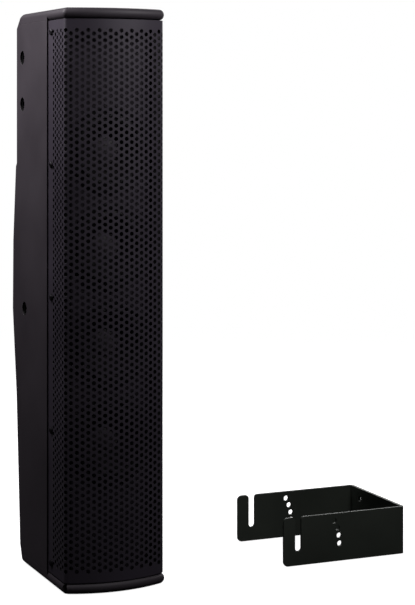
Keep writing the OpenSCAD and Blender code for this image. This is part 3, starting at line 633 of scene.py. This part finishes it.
def wadding():
    pads = [pad(f"wadding_{i + 1}", *box) for i, box in enumerate(islands(NODES["wadding"].data))]
    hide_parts("wadding")


# Tap selector's markings ----------------------------------------------------------------------

INK = 0.15 * MM
POINTER = (1.0 * MM, 7.5 * MM)            # width and length
TICK = (0.8 * MM, 3.0 * MM)
POINTER_R = 5.6 * MM                      # from the spindle's axis to the middle of each mark
TICK_R = 15.5 * MM
TAP_STEP = 30                             # degrees between taps
TAPS = 6


def height_along(node, spot, out):
    """How far a node reaches from a spot in the direction out."""
    return max((vert.co - spot).dot(out) for vert in NODES[node].data.vertices)


def mark(name, spot, along, out, size):
    """A printed bar of the given width and length, lying on a face whose normal is out."""
    across = along.cross(out)
    width, length = size
    verts = [spot + across * i * width / 2 + along * j * length / 2 + out * k * INK
             for k in (0, 1) for i, j in ((-1, -1), (1, -1), (1, 1), (-1, 1))]
    faces = [(3, 2, 1, 0), (4, 5, 6, 7)] + [(i, (i + 1) % 4, (i + 1) % 4 + 4, i + 4) for i in range(4)]
    return new_piece(name, verts, faces, white_ink)


def tap_markings():
    """A pointer on the knob's ridge and one tick on the plate for every tap."""
    plate = NODES["connector_plate"].data
    out = max((face for face in plate.polygons if face.normal.y > 0), key=lambda face: face.area).normal
    up = Vector((1, 0, 0)).cross(out)
    axis = centre_of("tap_spindle")
    pointer_at = axis + up * POINTER_R + out * height_along("tap_knob", axis, out)
    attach(mark("knob_pointer", pointer_at, up, out, POINTER), "tap_selector")
    for k in range(TAPS):
        along = Quaternion(out, math.radians(k * TAP_STEP)) @ up
        tick_at = axis + along * TICK_R + out * height_along("connector_plate", axis, out)
        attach(mark(f"tap_tick_{k + 1}", tick_at, along, out, TICK), "cabinet")


# Stage ----------------------------------------------------------------------------------------


def soft_light(name, place, target, size, watts, tint=(1, 1, 1)):
    """A square softbox at place that faces target."""
    data = bpy.data.lights.new(name, "AREA")
    data.shape = "RECTANGLE"
    data.size, data.size_y = size
    data.energy = watts
    data.color = tint
    lamp = bpy.data.objects.new(name, data)
    bpy.context.scene.collection.objects.link(lamp)
    lamp.location = place
    lamp.rotation_euler = (Vector(target) - Vector(place)).to_track_quat("-Z", "Y").to_euler()
    return lamp


def seen_or_lit(tree, seen, lit):
    """A mix of shaders: seen where the camera looks straight at it, lit for every other ray."""
    path = tree.nodes.new("ShaderNodeLightPath")
    mix = tree.nodes.new("ShaderNodeMixShader")
    tree.links.new(path.outputs["Is Camera Ray"], mix.inputs[0])
    tree.links.new(lit, mix.inputs[1])
    tree.links.new(seen, mix.inputs[2])
    return mix.outputs[0]


def pale_world(lit):
    """A white backdrop for the camera that lights the object only a little."""
    world = bpy.data.worlds.new("studio")
    bpy.context.scene.world = world
    world.use_nodes = True
    tree = world.node_tree
    tree.nodes.clear()
    output = tree.nodes.new("ShaderNodeOutputWorld")
    shades = []
    for strength in (1.0, lit):
        background = tree.nodes.new("ShaderNodeBackground")
        background.inputs["Strength"].default_value = strength
        background.inputs["Color"].default_value = (1, 1, 1, 1)
        shades.append(background.outputs[0])
    tree.links.new(seen_or_lit(tree, *shades), output.inputs["Surface"])


FLOOR_HALF = 60.0
FLOOR_GLOW = 0.90                         # how white the floor looks near the object
FLOOR_BOUNCE = 0.04                       # how much light it throws back on the object
FLOOR_FADE = (0.8, 2.4)                   # distances over which it turns into the backdrop
WORLD_LIT = 0.008                         # how much the backdrop lights the object
ROSE = (1.0, 0.96, 1.0)                   # tint of the two key lights


def floor():
    """A pale floor that turns into the white backdrop away from the object, with soft contact shadows."""
    verts = [(-FLOOR_HALF, -FLOOR_HALF, 0), (FLOOR_HALF, -FLOOR_HALF, 0),
             (FLOOR_HALF, FLOOR_HALF, 0), (-FLOOR_HALF, FLOOR_HALF, 0)]
    t = Tree("floor")
    t.shader.inputs["Base Color"].default_value = (0.8, 0.8, 0.8, 1)
    t.shader.inputs["Roughness"].default_value = 0.9
    t.shader.inputs["Specular IOR Level"].default_value = 0.1
    t.shader.inputs["Emission Color"].default_value = (1, 1, 1, 1)
    t.shader.inputs["Emission Strength"].default_value = FLOOR_GLOW
    white = t.add("ShaderNodeEmission", Strength=1.0)
    distance = t.add("ShaderNodeVectorMath", operation="LENGTH")
    t.link(t.add("ShaderNodeTexCoord").outputs["Object"], distance.inputs[0])
    fade = t.add("ShaderNodeMapRange", interpolation_type="SMOOTHSTEP")
    fade.inputs["From Min"].default_value, fade.inputs["From Max"].default_value = FLOOR_FADE
    t.link(distance.outputs["Value"], fade.inputs["Value"])
    sweep = t.add("ShaderNodeMixShader")
    t.link(fade.outputs["Result"], sweep.inputs[0])
    t.link(t.shader.outputs[0], sweep.inputs[1])
    t.link(white.outputs[0], sweep.inputs[2])
    dull = t.add("ShaderNodeBsdfDiffuse", Color=(FLOOR_BOUNCE, FLOOR_BOUNCE, FLOOR_BOUNCE, 1))
    output = t.nodes["Material Output"]
    surface = seen_or_lit(t.material.node_tree, sweep.outputs[0], dull.outputs[0])
    t.link(surface, output.inputs["Surface"])
    new_piece("floor", verts, [(0, 1, 2, 3)], t.material)


LENS = 103.6                              # on a sensor 36 wide
DOWNWARD_SHIFT = -0.3195                  # keeps uprights upright while the lens looks level
EYE = Vector((-0.717, -1.930, 0.566))
LOOK = Vector((0.398, 0.917, 0))


def camera():
    """Stands in front of the left corner, level, with its lens shifted down."""
    data = bpy.data.cameras.new("camera")
    data.sensor_width = 36.0
    data.lens = LENS
    data.clip_start, data.clip_end = 0.05, 100
    eye = bpy.data.objects.new("camera", data)
    bpy.context.scene.collection.objects.link(eye)
    eye.location = EYE
    eye.rotation_euler = (math.pi / 2, 0, -math.atan2(LOOK.x, LOOK.y))
    bpy.context.scene.camera = eye
    # The shift belongs to this place alone: from anywhere else the lens is centred
    driver = data.driver_add("shift_y").driver
    driver.type = "SCRIPTED"
    place = driver.variables.new()
    place.name = "x"
    place.type = "TRANSFORMS"
    place.targets[0].id = eye
    place.targets[0].transform_type = "LOC_X"
    driver.expression = f"{DOWNWARD_SHIFT} if abs(x - {EYE.x:.3f}) < 0.001 else 0.0"


def lights():
    """Two near softboxes high up, so that the column fades downwards, and fill from behind."""
    soft_light("left", (-0.45, 0.20, 1.00), (-0.064, 0.08, 0.85), (0.30, 0.30), 5.0, ROSE)
    soft_light("front", (0.42, -0.62, 1.10), (0.0, 0.0, 0.80), (0.40, 0.40), 4.6, ROSE)
    soft_light("back", (0.9, 1.5, 1.3), (0.0, 0.1, 0.35), (1.0, 1.0), 14.0)
    soft_light("right", (1.5, 0.8, 0.9), (0.1, 0.1, 0.3), (0.8, 0.8), 8.0)


bpy.context.scene.view_settings.view_transform = "Standard"
dress_nodes()
perforated_grille()
soft_driver_parts()
wadding()
tap_markings()
pale_world(WORLD_LIT)
floor()
lights()
camera()
